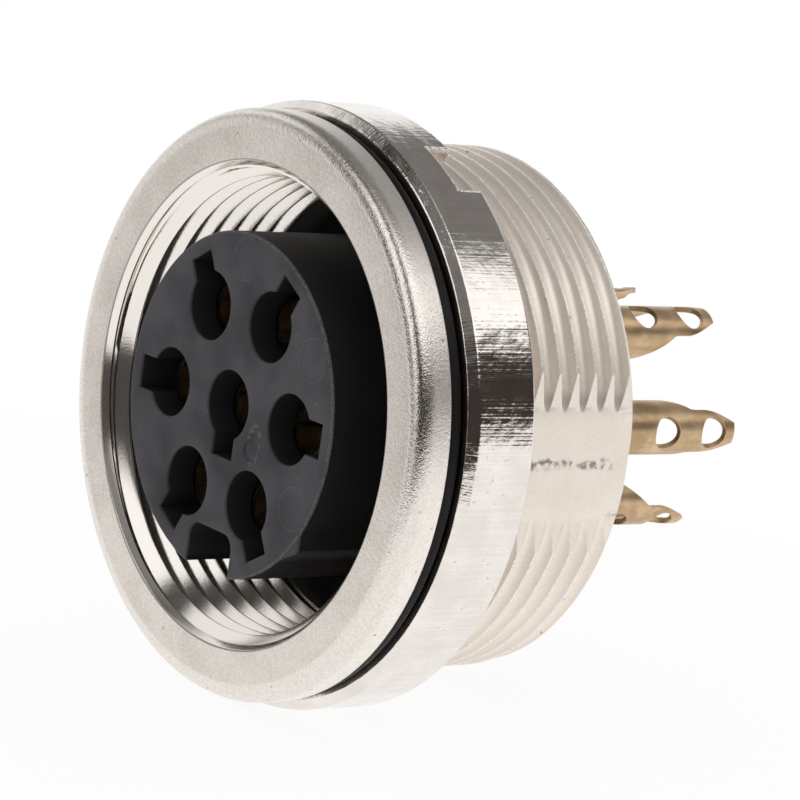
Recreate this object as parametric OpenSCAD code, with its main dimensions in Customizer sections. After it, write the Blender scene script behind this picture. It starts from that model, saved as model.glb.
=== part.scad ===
// Seven-way female circular connector for a panel, with a threaded coupling.
// Each piece is drawn about Z with the mating face up, then laid down so that the mating face looks along -Y.
// The seat plane, where the flange ends and the shank begins, is the origin.

/* [Shell] */
// Diameter of the front flange
flange_d = 19.65; // [18.8:0.05:24]
// Thickness of the front flange
flange_t = 1.25; // [0.8:0.05:2.5]
// Rounding of the flange's front edge
flange_round = 0.5; // [0.1:0.05:0.6]
// Width of the flange's rear face outside the mounting thread
seat_w = 0.85; // [0.6:0.05:2]
// Wall between the crests of the mounting thread and of the coupling thread
wall_t = 1.375; // [1.25:0.025:2]
// Length of the shank behind the flange
shank_l = 8.65; // [8.2:0.05:14]
// Depth of the two flats below the thread's crests
flat_depth = 0.525; // [0.2:0.025:0.6]
// Chamfer at the rear end of the shank
shank_chamfer = 0.35; // [0.1:0.05:0.5]
// Depth of the coupling thread below the front face
coupling_depth = 6; // [4:0.1:6.5]
// Width of the chamfer at the mouth of the coupling thread
mouth_chamfer = 0.48; // [0.1:0.02:0.6]
// Width of the shoulder that the insert's foot seats on
shoulder_w = 0.25; // [0.15:0.01:0.35]

/* [Sealing ring] */
// Radial width of the sealing ring outside the mounting thread
seal_w = 0.725; // [0.5:0.025:1.5]
// Thickness of the sealing ring
seal_t = 0.55; // [0.5:0.05:1.5]
// Rounding of the sealing ring's outer edges
seal_round = 0.24; // [0.05:0.01:0.25]

/* [Ring nut] */
// Wall of the ring nut outside the mounting thread
nut_wall = 1.175; // [0.8:0.025:2.5]
// Length of the ring nut
nut_l = 2.6; // [1.8:0.05:4]
// Chamfer of the nut's front edge
nut_front_chamfer = 0.28; // [0.05:0.01:0.4]
// Chamfer of the nut's rear edge
nut_rear_chamfer = 0.12; // [0.05:0.01:0.3]
// Chamfer at both ends of the nut's bore
nut_bore_chamfer = 0.2; // [0.05:0.05:0.3]
// Width of a spanner slot
slot_w = 2.15; // [1:0.05:4]
// Depth of a spanner slot from the rear edge
slot_depth = 1; // [0.5:0.05:1.4]
// Direction of the first spanner slot, in degrees from +X
slot_angle = 62; // [0:1:180]

/* [Insert] */
// Wall between a cavity's side notch and the boss's outside
notch_land = 0.53; // [0.3:0.01:0.8]
// How far the boss stands proud of the flange
boss_proud = 0.36; // [0:0.02:1]
// Thickness of the foot that seats in the shell
foot_t = 1.5; // [1:0.05:1.8]
// How much wider the rear hub is than the boss, on each side
hub_step = 0.15; // [0:0.05:0.5]
// How far the hub stands out of the shell's rear end
hub_proud = 0.95; // [0.2:0.05:2]
// Width of the keyway
key_w = 2.45; // [1.5:0.05:2.6]
// Depth of the keyway below the boss's wall
key_depth = 1.55; // [0.8:0.05:1.6]
// Rounding of the keyway's inner corners
key_round = 0.5; // [0.1:0.05:0.7]
// Diameter of a contact cavity
cavity_d = 2.32; // [2.1:0.02:2.6]
// Depth of a contact cavity
cavity_depth = 5.5; // [5.2:0.1:6.5]
// Width of a cavity's side notch
notch_w = 1.14; // [0.9:0.02:1.4]
// Reach of a side notch from the middle of its cavity
notch_reach = 1.76; // [1.7:0.02:2]
// Depth of a side notch
notch_depth = 4.2; // [3.6:0.1:5]
// Diameter of an ejector mark
mark_d = 1.45; // [0.8:0.05:1.6]
// Land between an ejector mark and the boss's edge
mark_land = 0.12; // [0.05:0.01:0.2]
// Depth of the ejector and gate marks
mark_depth = 0.06; // [0.02:0.01:0.2]
// Width of the gate mark
gate_w = 0.85; // [0.5:0.05:1]
// Length of the gate mark
gate_l = 1.4; // [1.1:0.05:1.6]
// Distance of the gate mark from the middle
gate_r = 1.95; // [1.9:0.01:2]
// Width of the rib that sets the foot in the shell
locator_w = 1.6; // [1:0.1:3]
// Height of the rib that sets the foot in the shell
locator_h = 0.35; // [0.2:0.01:0.4]
// Height of the rib on the boss's side
side_rib_h = 0.36; // [0.1:0.02:0.6]

/* [Retaining ring] */
// Radial width of the retaining ring
ring_w = 0.9; // [0.6:0.05:1.2]
// Thickness of the retaining ring
ring_t = 0.8; // [0.5:0.05:0.8]
// Opening between the ends of the retaining ring
ring_gap = 2.4; // [1:0.1:5]
// Depth of the groove that holds the retaining ring
groove_depth = 0.25; // [0.1:0.01:0.3]

/* [Contacts] */
// Diameter of the circle that the contacts lie on
pitch_d = 6.92; // [6.7:0.02:7]
// Diameter of the mating pin
pin_d = 1; // [0.8:0.05:1.1]
// Diameter of the rolled sleeve
sleeve_d = 1.9; // [1.8:0.02:1.96]
// Thickness of the sheet
sheet_t = 0.3; // [0.2:0.01:0.32]
// How far the sleeve lies behind the insert's face
sleeve_recess = 0.9; // [0.6:0.05:1.6]
// Length of the collar at the sleeve's mouth
collar_l = 0.7; // [0.4:0.05:1]
// Length of the necking at each end of the grip
necking_l = 0.8; // [0.6:0.05:1]
// Length of the wall that grips the pin
grip_l = 3; // [2:0.1:3.2]
// Width of the seam along the rolled sleeve
seam_w = 0.2; // [0.1:0.01:0.3]
// Width of the locking lance
lance_w = 0.8; // [0.5:0.05:0.85]
// Length of a solder tail behind the hub
tail_l = 7.6; // [6.5:0.1:12]
// Width of a solder tail
tail_w = 1.54; // [1.4:0.02:1.7]
// Depth of a solder tail's trough
tail_depth = 0.45; // [0.35:0.01:0.6]
// Width of a solder tail at its tip
tip_w = 0.75; // [0.4:0.05:1.2]
// Length over which the tip tapers
tip_l = 1.3; // [0.6:0.05:2]
// Distance from the tip to the end of the sleeve's slanting cut
cut_inset = 1.1; // [0.8:0.05:2]
// Angle between the slanting cut and the axis
cut_angle = 32; // [25:1:45]
// Diameter of a solder hole
solder_hole_d = 1.1; // [0.8:0.05:1.2]
// Distance from the tip to the outer solder hole
solder_hole_inset = 0.97; // [0.8:0.01:1.2]
// Distance between the two solder holes
solder_hole_gap = 2.15; // [1.6:0.05:3]

/* [Fits] */
// Clearance of the ring nut on the mounting thread
nut_clear = 0.05; // [0.01:0.01:0.1]
// Clearance between pieces that seat in each other
seat_clear = 0.02; // [0.01:0.01:0.05]
// Clearance of the mating pin in its contact
pin_clear = 0.02; // [0.01:0.01:0.05]

/* [Hidden] */
$fn = 96;

// Cuts run this far past the face that they open
over = 1;
flange_r = flange_d / 2;
shank_r = flange_r - seat_w;
coupling_r = shank_r - wall_t;
rear_bore_r = coupling_r + shoulder_w;
groove_r = rear_bore_r + groove_depth;
seal_r = shank_r + seal_w;
nut_r = shank_r + nut_wall;
boss_r = pitch_d / 2 + notch_reach + notch_land;
hub_r = boss_r + hub_step;
sleeve_r = sleeve_d / 2;
cavity_r = cavity_d / 2;
pin_bore_r = pin_d / 2 + pin_clear;
mark_r = boss_r - mark_land - mark_d / 2;

// Heights along the axis, with the mating face up and the seat plane at zero
face_z = flange_t + boss_proud;
floor_z = flange_t - coupling_depth;
foot_rear_z = floor_z - foot_t;
shank_end_z = -shank_l;
hub_end_z = shank_end_z - hub_proud;
nut_front_z = -seal_t - seat_clear;
nut_rear_z = nut_front_z - nut_l;
sleeve_front_z = face_z - sleeve_recess;
collar_end_z = sleeve_front_z - collar_l;
lance_end_z = face_z - notch_depth + seat_clear;
tail_end_z = hub_end_z - tail_l;

ring_ways = 6;
ways = ring_ways + 1;
key_angle = -90;
mark_angles = [-30 : 60 : 90];
gate_angle = -29;
side_rib_angle = -38;

// Lays a piece that is drawn about Z down, so that its upper end looks along -Y
module laid_down() {
    rotate([90, 0, 0]) children();
}

// Puts a shape on the axis of one contact, with +X pointing the way of that contact's notch
module at_way(way) {
    if (way < ring_ways) {
        rotate(way * 360 / ring_ways) translate([pitch_d / 2, 0, 0]) children();
    } else {
        rotate(key_angle) children();
    }
}

// Half section of a disc from height 0 to t, with its upper edge rounded
module rounded_disc_section(r, t, round_r) {
    square([r - round_r, t]);
    square([r, t - round_r]);
    translate([r - round_r, t - round_r]) circle(round_r);
}

// Section of a flat ring from height 0 to t, with both outer edges rounded
module rounded_ring_section(inner_r, outer_r, t, round_r) {
    corner_x = outer_r - round_r;
    translate([inner_r, 0]) square([corner_x - inner_r, t]);
    translate([inner_r, round_r]) square([outer_r - inner_r, t - 2 * round_r]);
    for (y = [round_r, t - round_r]) {
        translate([corner_x, y]) circle(round_r);
    }
}

// Cast body: flange, shank with two flats, and the stepped bore
module shell() {
    flat_r = shank_r - flat_depth;
    color("silver") laid_down() difference() {
        union() {
            rotate_extrude() rounded_disc_section(flange_r, flange_t, flange_round);
            intersection() {
                rotate_extrude() polygon([
                    [0, 0],
                    [shank_r, 0],
                    [shank_r, shank_end_z + shank_chamfer],
                    [shank_r - shank_chamfer, shank_end_z],
                    [0, shank_end_z]
                ]);
                translate([-flat_r, -shank_r, shank_end_z]) cube([2 * flat_r, 2 * shank_r, shank_l]);
            }
        }
        shell_bore();
        locator(locator_h + seat_clear, locator_w + 2 * seat_clear, shank_end_z - over, floor_z);
    }
}

// Space inside the shell: mouth, coupling thread, shoulder, rear bore and ring groove
module shell_bore() {
    groove_front_z = foot_rear_z;
    groove_rear_z = foot_rear_z - ring_t - seat_clear;
    rotate_extrude() polygon([
        [0, flange_t + over],
        [coupling_r + mouth_chamfer, flange_t + over],
        [coupling_r + mouth_chamfer, flange_t],
        [coupling_r, flange_t - mouth_chamfer],
        [coupling_r, floor_z],
        [rear_bore_r, floor_z],
        [rear_bore_r, groove_front_z],
        [groove_r, groove_front_z],
        [groove_r, groove_rear_z],
        [rear_bore_r, groove_rear_z],
        [rear_bore_r, shank_end_z - over],
        [0, shank_end_z - over]
    ]);
}

// Rib at the key's side that sets the foot in the shell, from one height to another
module locator(h, w, z0, z1) {
    rotate(key_angle) translate([0, -w / 2, z0]) cube([rear_bore_r + h, w, z1 - z0]);
}

// Flat rubber ring behind the flange
module sealing_ring() {
    color("black") laid_down() translate([0, 0, -seal_t]) rotate_extrude()
        rounded_ring_section(shank_r + seat_clear, seal_r, seal_t, seal_round);
}

// Turned nut with spanner slots through its rear edge
module ring_nut() {
    bore_r = shank_r + nut_clear;
    bore_edge_r = bore_r + nut_bore_chamfer;
    color("gainsboro") laid_down() difference() {
        rotate_extrude() polygon([
            [bore_r, nut_front_z - nut_bore_chamfer],
            [bore_edge_r, nut_front_z],
            [nut_r - nut_front_chamfer, nut_front_z],
            [nut_r, nut_front_z - nut_front_chamfer],
            [nut_r, nut_rear_z + nut_rear_chamfer],
            [nut_r - nut_rear_chamfer, nut_rear_z],
            [bore_edge_r, nut_rear_z],
            [bore_r, nut_rear_z + nut_bore_chamfer]
        ]);
        for (turn = [0, 180]) {
            rotate(slot_angle + turn) translate([0, -slot_w / 2, nut_rear_z - over])
                cube([nut_r + over, slot_w, slot_depth + over]);
        }
    }
}

// Keyhole cavity with its side notch, and the narrower seat of the sleeve behind it
module cavity() {
    translate([0, 0, face_z - cavity_depth]) cylinder(r = cavity_r, h = cavity_depth + over);
    translate([0, -notch_w / 2, face_z - notch_depth]) cube([notch_reach, notch_w, notch_depth + over]);
    translate([0, 0, hub_end_z - over])
        cylinder(r = sleeve_r + seat_clear, h = face_z - cavity_depth - hub_end_z + 2 * over);
}

// Keyway along the boss, with rounded inner corners
module keyway() {
    floor_r = boss_r - key_depth;
    corner_y = key_w / 2 - key_round;
    rotate(key_angle) translate([0, 0, floor_z]) linear_extrude(face_z - floor_z + over) {
        translate([floor_r + key_round, -key_w / 2]) square([boss_r - floor_r, key_w]);
        translate([floor_r, -corner_y]) square([boss_r - floor_r, 2 * corner_y]);
        for (side = [-1, 1]) {
            translate([floor_r + key_round, side * corner_y]) circle(key_round);
        }
    }
}

// Shallow ejector marks round the face, and an oblong gate mark near the middle
module face_marks() {
    translate([0, 0, face_z - mark_depth]) {
        for (angle = mark_angles) {
            rotate(angle) translate([mark_r, 0, 0]) cylinder(d = mark_d, h = mark_depth + over);
        }
        rotate(gate_angle) translate([gate_r, 0, 0]) linear_extrude(mark_depth + over) {
            square([gate_w, gate_l - gate_w], center = true);
            for (side = [-1, 1]) {
                translate([0, side * (gate_l - gate_w) / 2]) circle(d = gate_w);
            }
        }
    }
}

// Small rib along the boss's side, steep towards the middle of the right side
module side_rib() {
    rib_half_angle = 5;
    crest_r = boss_r + side_rib_h;
    rotate(side_rib_angle) translate([0, 0, floor_z]) linear_extrude(face_z - floor_z) polygon([
        [0, 0],
        boss_r * [cos(rib_half_angle), sin(rib_half_angle)],
        [crest_r, 0],
        boss_r * [cos(2 * rib_half_angle), -sin(2 * rib_half_angle)]
    ]);
}

// Moulded insert: keyed boss, foot in the shell, and rear hub
module insert() {
    color("dimgray") laid_down() difference() {
        union() {
            translate([0, 0, floor_z]) cylinder(r = boss_r, h = face_z - floor_z);
            translate([0, 0, foot_rear_z]) cylinder(r = rear_bore_r - seat_clear, h = foot_t);
            translate([0, 0, hub_end_z]) cylinder(r = hub_r, h = foot_rear_z - hub_end_z);
            locator(locator_h, locator_w, foot_rear_z, floor_z);
            side_rib();
        }
        for (way = [0 : ways - 1]) at_way(way) cavity();
        keyway();
        face_marks();
    }
}

// Split spring ring that holds the insert's foot from behind
module retaining_ring() {
    outer_r = groove_r - seat_clear;
    color("darkgray") laid_down() translate([0, 0, foot_rear_z - ring_t]) difference() {
        cylinder(r = outer_r, h = ring_t);
        translate([0, 0, -over]) cylinder(r = outer_r - ring_w, h = ring_t + 2 * over);
        rotate(-key_angle) translate([0, -ring_gap / 2, -over]) cube([groove_r + over, ring_gap, ring_t + 2 * over]);
    }
}

// Half width of a solder tail at a distance from its tip: blunt round tip, then a straight run
function tail_half_w(s) = tail_w / 2 - (s < tip_l ? (tail_w - tip_w) / 2 * (1 - sin(90 * s / tip_l)) : 0);

// Outline of the solder tail, seen along the way of the notch and run through the sheet
module tail_strip() {
    edge = [for (s = [each [0 : tip_l / 4 : tip_l], tail_l]) [tail_half_w(s), tail_end_z + s]];
    half = concat([[tip_w / 2, tail_end_z - over]], edge);
    mirrored = [for (i = [len(half) - 1 : -1 : 0]) [-half[i][0], half[i][1]]];
    translate([sleeve_r - tail_depth, 0, 0]) rotate([90, 0, 90])
        linear_extrude(tail_depth + over) polygon(concat(half, mirrored));
}

// Slanting cut that opens the sleeve behind the hub and leaves the solder tail standing
module slanting_cut() {
    cut_end_z = tail_end_z + cut_inset;
    cut_start_z = cut_end_z + sleeve_d / tan(cut_angle);
    difference() {
        rotate([90, 0, 0]) linear_extrude(2 * sleeve_d, center = true) polygon([
            [-sleeve_d, cut_start_z],
            [-sleeve_r, cut_start_z],
            [sleeve_r, cut_end_z],
            [sleeve_d, cut_end_z],
            [sleeve_d, tail_end_z - over],
            [-sleeve_d, tail_end_z - over]
        ]);
        tail_strip();
    }
}

// Rolled sleeve: collar, grip for the pin, plain run through the insert with one seam on the inner side, and the
// opened end whose outer wall goes on as a solder tail with two holes
module sleeve() {
    neck_r = pin_bore_r + sheet_t;
    bore_r = sleeve_r - sheet_t;
    grip_front_z = collar_end_z - necking_l;
    grip_rear_z = grip_front_z - grip_l;
    run_front_z = grip_rear_z - necking_l;
    difference() {
        rotate_extrude() polygon([
            [bore_r, sleeve_front_z],
            [sleeve_r, sleeve_front_z],
            [sleeve_r, collar_end_z],
            [neck_r, grip_front_z],
            [neck_r, grip_rear_z],
            [sleeve_r, run_front_z],
            [sleeve_r, tail_end_z],
            [bore_r, tail_end_z],
            [bore_r, run_front_z],
            [pin_bore_r, grip_rear_z],
            [pin_bore_r, grip_front_z],
            [bore_r, collar_end_z]
        ]);
        translate([-sleeve_d, -seam_w / 2, tail_end_z - over])
            cube([sleeve_d, seam_w, sleeve_front_z - tail_end_z + 2 * over]);
        slanting_cut();
        for (inset = [solder_hole_inset, solder_hole_inset + solder_hole_gap]) {
            translate([0, 0, tail_end_z + inset]) rotate([0, 90, 0])
                cylinder(d = solder_hole_d, h = sleeve_r + over);
        }
    }
}

// Locking lance: a strip bent out of the collar that stands on the floor of the notch
module lance() {
    tip_r = notch_reach - sheet_t / 2;
    translate([0, lance_w / 2, 0]) rotate([90, 0, 0]) linear_extrude(lance_w) polygon([
        [sleeve_r - sheet_t, collar_end_z + sheet_t],
        [sleeve_r, collar_end_z + sheet_t],
        [tip_r, lance_end_z],
        [tip_r - sheet_t, lance_end_z],
        [sleeve_r - sheet_t, collar_end_z]
    ]);
}

// Stamped and rolled female contact of one way
module contact(way) {
    color("goldenrod") laid_down() at_way(way) {
        sleeve();
        lance();
    }
}

shell();
sealing_ring();
ring_nut();
insert();
retaining_ring();
for (way = [0 : ways - 1]) {
    contact(way);
}
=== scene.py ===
"""Seven-way panel connector: cast and threaded shell, turned nut, moulded insert and rolled contacts.

Shapes are worked out with numpy in millimetres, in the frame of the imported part, and made into meshes in
metres. The axis of the connector is Y, with the mating face towards -Y; angles run from +X towards +Z.
"""

import bmesh
import bpy
import numpy as np
from mathutils import Matrix, Vector
from mathutils.geometry import delaunay_2d_cdt


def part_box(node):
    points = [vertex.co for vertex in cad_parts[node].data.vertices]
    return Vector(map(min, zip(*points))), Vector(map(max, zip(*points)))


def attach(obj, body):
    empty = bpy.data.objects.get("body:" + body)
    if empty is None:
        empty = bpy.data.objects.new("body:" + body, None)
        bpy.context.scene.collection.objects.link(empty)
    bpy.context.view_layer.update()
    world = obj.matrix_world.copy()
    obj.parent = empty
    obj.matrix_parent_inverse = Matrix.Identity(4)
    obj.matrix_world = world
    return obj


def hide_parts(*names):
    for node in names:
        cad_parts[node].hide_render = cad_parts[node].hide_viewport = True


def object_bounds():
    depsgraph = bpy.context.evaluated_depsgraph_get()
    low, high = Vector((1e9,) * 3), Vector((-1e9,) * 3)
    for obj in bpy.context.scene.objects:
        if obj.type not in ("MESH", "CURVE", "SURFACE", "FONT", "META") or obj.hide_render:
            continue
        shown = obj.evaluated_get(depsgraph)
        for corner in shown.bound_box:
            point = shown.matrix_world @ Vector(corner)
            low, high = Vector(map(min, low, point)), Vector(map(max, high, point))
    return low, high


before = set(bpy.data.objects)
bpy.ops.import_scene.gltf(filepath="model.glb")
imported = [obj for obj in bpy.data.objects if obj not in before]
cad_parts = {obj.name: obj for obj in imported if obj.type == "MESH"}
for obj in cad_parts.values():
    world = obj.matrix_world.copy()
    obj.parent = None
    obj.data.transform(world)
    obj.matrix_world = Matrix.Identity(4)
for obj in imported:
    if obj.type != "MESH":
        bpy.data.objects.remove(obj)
cad_low, cad_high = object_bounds()

MM = 0.001
FULL = 360.0

# Tolerances: corners of a mesh that are merged, edges that are too short, points of an outline taken as one
MERGE_GAP = 2e-4
SLIVER = 1e-5
SAME_POINT = 1e-7


def corners(node):
    """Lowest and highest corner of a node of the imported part, in millimetres."""
    low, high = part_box(node)
    return np.array(low) / MM, np.array(high) / MM


SHELL_LOW, SHELL_HIGH = corners("shell")
SEAL_LOW, SEAL_HIGH = corners("sealing_ring")
NUT_LOW, NUT_HIGH = corners("ring_nut")
INSERT_LOW, INSERT_HIGH = corners("insert")
RING_LOW, RING_HIGH = corners("retaining_ring")
TAIL_LOW, TAIL_HIGH = corners("contact_1")

# Clearance between pieces that fit together
PLAY = 0.02

# Shell
FLANGE_R = SHELL_HIGH[0]
FLANGE_FRONT_Y = SHELL_LOW[1]
SHANK_END_Y = SHELL_HIGH[1]
FLANGE_ROUND = 0.55
FLANGE_REAR_ROUND = 0.1
MOUTH_R = 8.1
MOUTH_ROUND = 0.05
RELIEF_R = 8.0
RELIEF_Y = FLANGE_FRONT_Y + 0.34
LIP_R = RELIEF_R - 0.08
LIP_Y = RELIEF_Y - 0.1
LIP_ROUND = 0.02
FLAT_R = 8.45
SHANK_END_R = 8.5
FLOOR_Y = 4.75
REAR_BORE_R = 7.85
REAR_CHAMFER = 0.12
GROOVE_R = 8.1
GROOVE_W = 0.82
LOCATOR_W = 1.64
LOCATOR_R = 8.22
LOCATOR_HALF_ANGLE = np.degrees(np.arcsin(LOCATOR_W / 2 / REAR_BORE_R))

# Mounting thread on the shank and coupling thread in the bore
PITCH = 0.75
CREST_R = 8.975
ROOT_R = 8.62
CREST_W = 0.07
ROOT_W = 0.04
MINOR_R = 7.6
MAJOR_R = 8.0
MINOR_W = 0.04
MAJOR_W = 0.05
LEAD_SLOPE = 2.0
RUN_IN = (0.3, 0.7)
HOLLOW_STEPS = (0.0, 0.36, 0.64, 0.84, 0.96, 1.0)
RIDGE_STEPS = (0.0, 0.06, 0.3, 0.6, 0.85, 1.0)
CREST_WEAR = 0.007
SHALLOW_SHARE = 0.35
SHALLOW_ANGLES = (20.0, 45.0)

# Nut, seal and retaining ring
NUT_R = NUT_HIGH[0] - 0.004
NUT_BORE_R = CREST_R + 0.05
NUT_CHAMFER = 0.28
NUT_REAR_CHAMFER = 0.12
NUT_BORE_CHAMFER = 0.2
NUT_BEVEL = 0.05
SLOT_ANGLE = 62.0
SLOT_W = 2.15
SLOT_FLOOR_Y = NUT_HIGH[1] - 1.0
SEAL_ROUND = 0.24
SEAL_BORE_ROUND = 0.04
RING_R = GROOVE_R - PLAY
RING_W = 0.9
RING_ROUND = 0.1
RING_GAP = 2.4
RING_GAP_ANGLE = 90.0

# Insert
FACE_Y = INSERT_LOW[1]
HUB_END_Y = INSERT_HIGH[1]
BOSS_R = 5.75
FOOT_R = 7.83
HUB_R = 5.9
FOOT_REAR_Y = RING_LOW[1]
EDGE_ROUND = 0.07
KEY_ANGLE = -90.0
KEY_W = 2.45
KEY_FLOOR_R = 4.2
KEY_ROUND = 0.5
RIB_ANGLE = -38.0
RIB_R = 6.11
RIB_RISE = 10.0
RIB_FALL = 5.0
RIB_BLUNT = 0.12
CAVITY_R = 1.16
CAVITY_DEPTH = 5.5
NOTCH_W = 1.14
NOTCH_REACH = 1.76
NOTCH_DEPTH = 4.2
SEAT_R = 0.97
MARK_ANGLES = (-30.0, 30.0, 90.0)
MARK_PLACE_R = 4.905
MARK_R = 0.725
MARK_DEPTH = 0.05
GATE_ANGLE = -29.0
GATE_PLACE_R = 1.95
GATE_L = 1.3
GATE_W = 0.75

# Contacts
PITCH_R = 3.46
SHEET_T = 0.2
SLEEVE_MID_R = 0.85
SLEEVE_FRONT_Y = TAIL_LOW[1]
NECK_MID_R = 0.62
SEAM_W = 0.2
COLLAR_L = 0.7
NECKING_L = 0.8
GRIP_L = 3.0
TAIL_TIP_Y = TAIL_HIGH[1] - 0.01
TAIL_W = 1.54
TIP_W = 0.75
TIP_L = 1.3
CUT_INSET = 1.1
CUT_ANGLE = 32.0
OPENING_H = 0.6
SOLDER_INSETS = (0.97, 3.12)
SOLDER_HOLE_R = 0.55
HOLE_GAP = 0.07
WINDOW_Y = SLEEVE_FRONT_Y + COLLAR_L
WINDOW_W = 0.9
WINDOW_L = 2.4
WINDOW_GAP = 0.06
LANCE_W = 0.8
LANCE_LAP = 0.08
LANCE_REACH = 0.68
LANCE_BEND = 1.3
LANCE_CURL = 0.1
CONTACT_BEVEL = 0.04


# Points and outlines


def polar(degrees, radius=1.0):
    """Points (x, z) at the given angles and radius."""
    a = np.radians(degrees)
    return np.stack([radius * np.cos(a), radius * np.sin(a)], -1)


def arc(centre, radius, start, end, count):
    """count points of a circle about centre, from one angle to another."""
    return np.asarray(centre) + polar(np.linspace(start, end, count), radius)


def turned(points, degrees):
    """Points turned about the origin."""
    c, s = polar(degrees)
    return np.asarray(points) @ np.array([[c, s], [-s, c]])


def circle(centre, radius, count=64):
    """A closed outline round centre, without a repeated last point."""
    return arc(centre, radius, 0.0, FULL, count + 1)[:-1]


def grown(outline, distance):
    """A closed outline moved outwards: each corner goes along the mitre of its two edges' normals."""
    edge = np.roll(outline, -1, 0) - outline
    edge /= np.linalg.norm(edge, axis=1, keepdims=True)
    normal = np.stack([edge[:, 1], -edge[:, 0]], -1)
    before = np.roll(normal, 1, 0)
    mitre = (normal + before) / (1.0 + (normal * before).sum(1, keepdims=True))
    return outline + distance * mitre


def sweep(outline, rows):
    """A closed outline carried along the axis: each row (growth, y) is the outline, grown, at that y."""
    loops = [np.insert(grown(outline, growth), 1, y, axis=1) for growth, y in rows]
    grid = np.stack(loops)
    return np.concatenate([grid, grid[:, :1]], 1)


def quarter(radius, y, inward, side, count=4):
    """Rows (growth, y) of a rounded edge from a face at y to a wall; side is -1 on an outer wall."""
    a = np.radians(np.linspace(0.0, 90.0, count))
    return np.stack([side * radius * (1.0 - np.sin(a)), y + inward * radius * (1.0 - np.cos(a))], -1)


def lathe(profile, degrees):
    """A profile of (radius, y) rows turned about the axis to the given angles."""
    profile = np.asarray(profile, float)
    return np.insert(profile[:, None, :1] * polar(degrees), 1, profile[:, 1:], axis=2)


def rounded_profile(points, radii, count=5):
    """A profile whose corners are replaced by arcs, as quadratic curves from edge to edge of each corner."""
    points = np.asarray(points, float)
    rows = [points[:1]]
    t = np.linspace(0.0, 1.0, count)[:, None]
    for before, corner, after, radius in zip(points, points[1:], points[2:], radii):
        a = corner + (before - corner) * radius / np.linalg.norm(before - corner)
        b = corner + (after - corner) * radius / np.linalg.norm(after - corner)
        rows.append((1 - t) ** 2 * a + 2 * t * (1 - t) * corner + t**2 * b if radius else corner[None])
    return np.concatenate([*rows, points[-1:]])


def inside(points, outline):
    """Which points lie in a closed outline, by counting the edges that a ray along +x crosses."""
    a, b = outline, np.roll(outline, -1, 0)
    x, z = points[:, :1], points[:, 1:]
    straddles = (a[:, 1] > z) != (b[:, 1] > z)
    rise = np.where(b[:, 1] == a[:, 1], 1.0, b[:, 1] - a[:, 1])
    crossing = a[:, 0] + (z - a[:, 1]) / rise * (b[:, 0] - a[:, 0])
    return (straddles & (x < crossing)).sum(1) % 2 == 1


def region(outer, holes=(), extra=None):
    """Triangles of the flat region in an outline and outside its holes, by a constrained triangulation."""
    loops = [outer, *holes]
    points = np.concatenate(loops + ([extra] if extra is not None else []))
    starts = np.cumsum([0] + [len(loop) for loop in loops])
    edges = [
        np.stack([np.arange(n), np.roll(np.arange(n), -1)], -1) + start
        for n, start in zip(map(len, loops), starts)
    ]
    within_edges = 1
    result = delaunay_2d_cdt(
        [Vector(p) for p in points], np.concatenate(edges).tolist(), [], within_edges, SAME_POINT)
    flat = np.array([tuple(v) for v in result[0]])
    triangles = np.array(result[2])
    middle = flat[triangles].mean(1)
    keep = inside(middle, outer)
    for hole in holes:
        keep &= ~inside(middle, hole)
    return flat, triangles[keep]


def cap(y, outer, holes=()):
    """The flat region between outlines as points at one y, with its triangles."""
    flat, triangles = region(outer, holes)
    return np.insert(flat, 1, y, axis=1), triangles


# Meshes


def piece(name, grids, caps, material, body, slot, nodes, sharp=35.0, sheet=0.0, bevel=0.0):
    """One mesh from point grids and triangulated caps: equal points are merged and faces turned outwards.

    sheet gives an open surface its thickness, half to each side, and bevel rounds what is left sharp.
    """
    points, faces, start = [], [], 0
    for grid in grids:
        rows, columns = grid.shape[:2]
        first = start + np.arange(rows * columns).reshape(rows, columns)[:-1, :-1].ravel()
        faces += np.stack([first, first + 1, first + columns + 1, first + columns], -1).tolist()
        points.append(grid.reshape(-1, 3))
        start += rows * columns
    for corner_points, triangles in caps:
        faces += (triangles + start).tolist()
        points.append(corner_points)
        start += len(corner_points)
    mesh = bpy.data.meshes.new(name)
    mesh.from_pydata(np.concatenate(points) * MM, [], faces)
    work = bmesh.new()
    work.from_mesh(mesh)
    bmesh.ops.remove_doubles(work, verts=work.verts, dist=MERGE_GAP * MM)
    bmesh.ops.dissolve_degenerate(work, edges=work.edges, dist=SLIVER * MM)
    bmesh.ops.recalc_face_normals(work, faces=work.faces)
    work.to_mesh(mesh)
    work.free()
    mesh.shade_smooth()
    mesh.set_sharp_from_angle(angle=np.radians(sharp))
    mesh.materials.append(material)
    obj = bpy.data.objects.new(name, mesh)
    bpy.context.scene.collection.objects.link(obj)
    if sheet:
        wall = obj.modifiers.new("wall", "SOLIDIFY")
        wall.thickness = sheet * MM
        wall.offset = 0.0
        wall.use_even_offset = True
    if bevel:
        edge = obj.modifiers.new("edge", "BEVEL")
        edge.width = bevel * MM
        edge.segments = 2
        edge.limit_method = "ANGLE"
        edge.angle_limit = np.radians(sharp)
        edge.harden_normals = True
    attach(obj, body)
    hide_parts(*nodes)
    return obj


# Threads


def smooth(value, start, end):
    """0 before start, 1 after end, and a smooth rise between them."""
    t = np.clip((value - start) / (end - start), 0.0, 1.0)
    return t * t * (3.0 - 2.0 * t)


def hollow(drop):
    """Share of a flank's width that is passed at a share of its depth: a groove in the form of a parabola."""
    return 1.0 - np.sqrt(1.0 - drop)


def ridge(drop):
    """The same for a groove with straight flanks between round crests."""
    return 0.9 * drop + 0.1 * np.sqrt(drop)


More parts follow.
